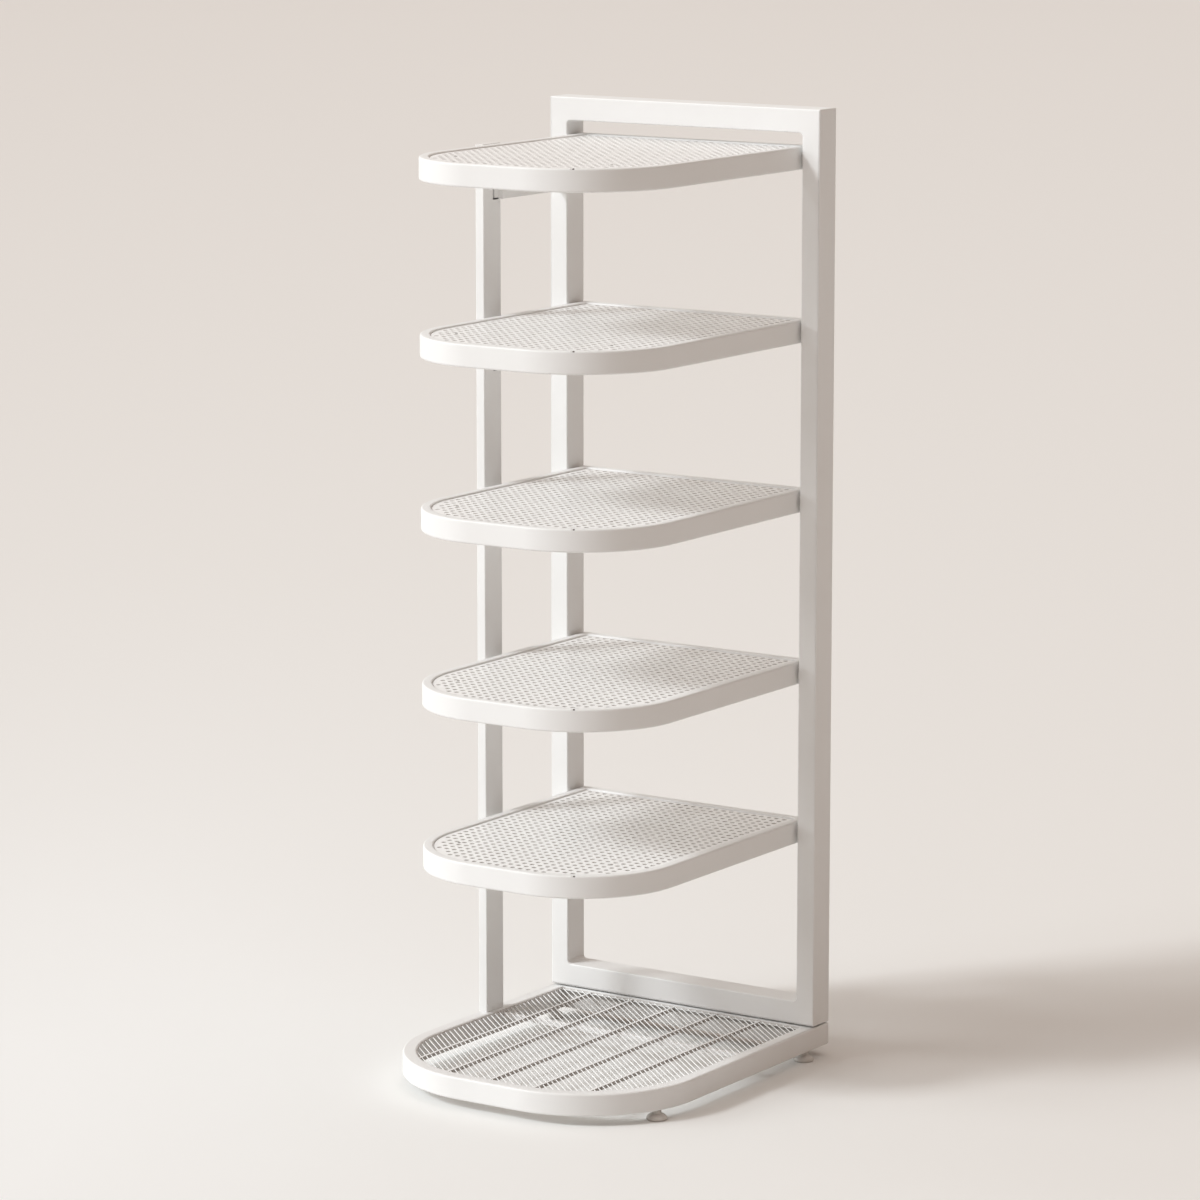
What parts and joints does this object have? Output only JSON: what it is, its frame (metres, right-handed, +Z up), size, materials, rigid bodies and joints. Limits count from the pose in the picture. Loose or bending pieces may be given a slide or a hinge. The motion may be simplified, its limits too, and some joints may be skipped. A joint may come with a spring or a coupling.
{
  "type": "shoe tower",
  "caption": "Tall narrow white steel shoe tower: perforated round-fronted shelves held by a rear frame and a slim side post, over a wide base hoop with a wire rack and levelling feet.",
  "frame": {"origin": "on the floor, under the middle of the base hoop", "axes": "+Z up, +X to the right seen from the front, +Y to the rear, where the frame stands"},
  "size_m": [0.316, 0.3676, 0.93],
  "materials": {
    "white_coat": "warm white powder coat, satin, with a very fine grain",
    "cap_plastic": "white, satin",
    "pad_rubber": "black, matt",
    "foot_plastic": "pale grey, matt",
    "stud_steel": "zinc plated"
  },
  "bodies": {
    "tower": {"base_rim": "white_coat", "rack_wires": "white_coat", "rack_cross_bar": "white_coat", "left_upright": "white_coat", "right_upright": "white_coat", "top_rail": "white_coat", "bottom_rail": "white_coat", "frame_pads": "pad_rubber", "left_post": "white_coat", "post_cap": "cap_plastic", "rack_bar_1": "white_coat", "rack_bar_2": "white_coat", "rack_bar_3": "white_coat", "rack_bar_4": "white_coat", "rack_bar_5": "white_coat", "shelf_rim_1": "white_coat", "shelf_rim_2": "white_coat", "shelf_rim_3": "white_coat", "shelf_rim_4": "white_coat", "shelf_rim_5": "white_coat", "shelf_panel_1": "white_coat", "shelf_panel_2": "white_coat", "shelf_panel_3": "white_coat", "shelf_panel_4": "white_coat", "shelf_panel_5": "white_coat", "shelf_rail_1": "white_coat", "shelf_rail_2": "white_coat", "shelf_rail_3": "white_coat", "shelf_rail_4": "white_coat", "shelf_rail_5": "white_coat", "shelf_lugs_1": "white_coat", "shelf_lugs_2": "white_coat", "shelf_lugs_3": "white_coat", "shelf_lugs_4": "white_coat", "shelf_lugs_5": "white_coat"},
    "stud_front_left": {"foot_stud_front_left": "stud_steel"},
    "pad_front_left": {"foot_pad_front_left": "foot_plastic"},
    "stud_front_right": {"foot_stud_front_right": "stud_steel"},
    "pad_front_right": {"foot_pad_front_right": "foot_plastic"},
    "stud_rear_left": {"foot_stud_rear_left": "stud_steel"},
    "pad_rear_left": {"foot_pad_rear_left": "foot_plastic"},
    "stud_rear_right": {"foot_stud_rear_right": "stud_steel"},
    "pad_rear_right": {"foot_pad_rear_right": "foot_plastic"}
  },
  "joints": [
    {"name": "foot_slide_front_left", "type": "slide", "parent": "tower", "child": "stud_front_left", "axis": [0, 0, -1], "range_m": [0, 0.008]},
    {"name": "foot_turn_front_left", "type": "hinge", "parent": "stud_front_left", "child": "pad_front_left", "pos_m": [-0.14053, -0.10415, 0.005], "axis": [0, 0, -1], "range_deg": [0, 2881]},
    {"name": "foot_slide_front_right", "type": "slide", "parent": "tower", "child": "stud_front_right", "axis": [0, 0, -1], "range_m": [0, 0.008]},
    {"name": "foot_turn_front_right", "type": "hinge", "parent": "stud_front_right", "child": "pad_front_right", "pos_m": [0.14053, -0.10415, 0.005], "axis": [0, 0, -1], "range_deg": [0, 2881]},
    {"name": "foot_slide_rear_left", "type": "slide", "parent": "tower", "child": "stud_rear_left", "axis": [0, 0, -1], "range_m": [0, 0.008]},
    {"name": "foot_turn_rear_left", "type": "hinge", "parent": "stud_rear_left", "child": "pad_rear_left", "pos_m": [-0.148, 0.14775, 0.005], "axis": [0, 0, -1], "range_deg": [0, 2881]},
    {"name": "foot_slide_rear_right", "type": "slide", "parent": "tower", "child": "stud_rear_right", "axis": [0, 0, -1], "range_m": [0, 0.008]},
    {"name": "foot_turn_rear_right", "type": "hinge", "parent": "stud_rear_right", "child": "pad_rear_right", "pos_m": [0.148, 0.14775, 0.005], "axis": [0, 0, -1], "range_deg": [0, 2881]}
  ],
  "couplings": [
    {"joint": "foot_turn_front_left", "follows": "foot_slide_front_left", "rad_per_m": 6283.2},
    {"joint": "foot_turn_front_right", "follows": "foot_slide_front_right", "rad_per_m": 6283.2},
    {"joint": "foot_turn_rear_left", "follows": "foot_slide_rear_left", "rad_per_m": 6283.2},
    {"joint": "foot_turn_rear_right", "follows": "foot_slide_rear_right", "rad_per_m": 6283.2}
  ]
}
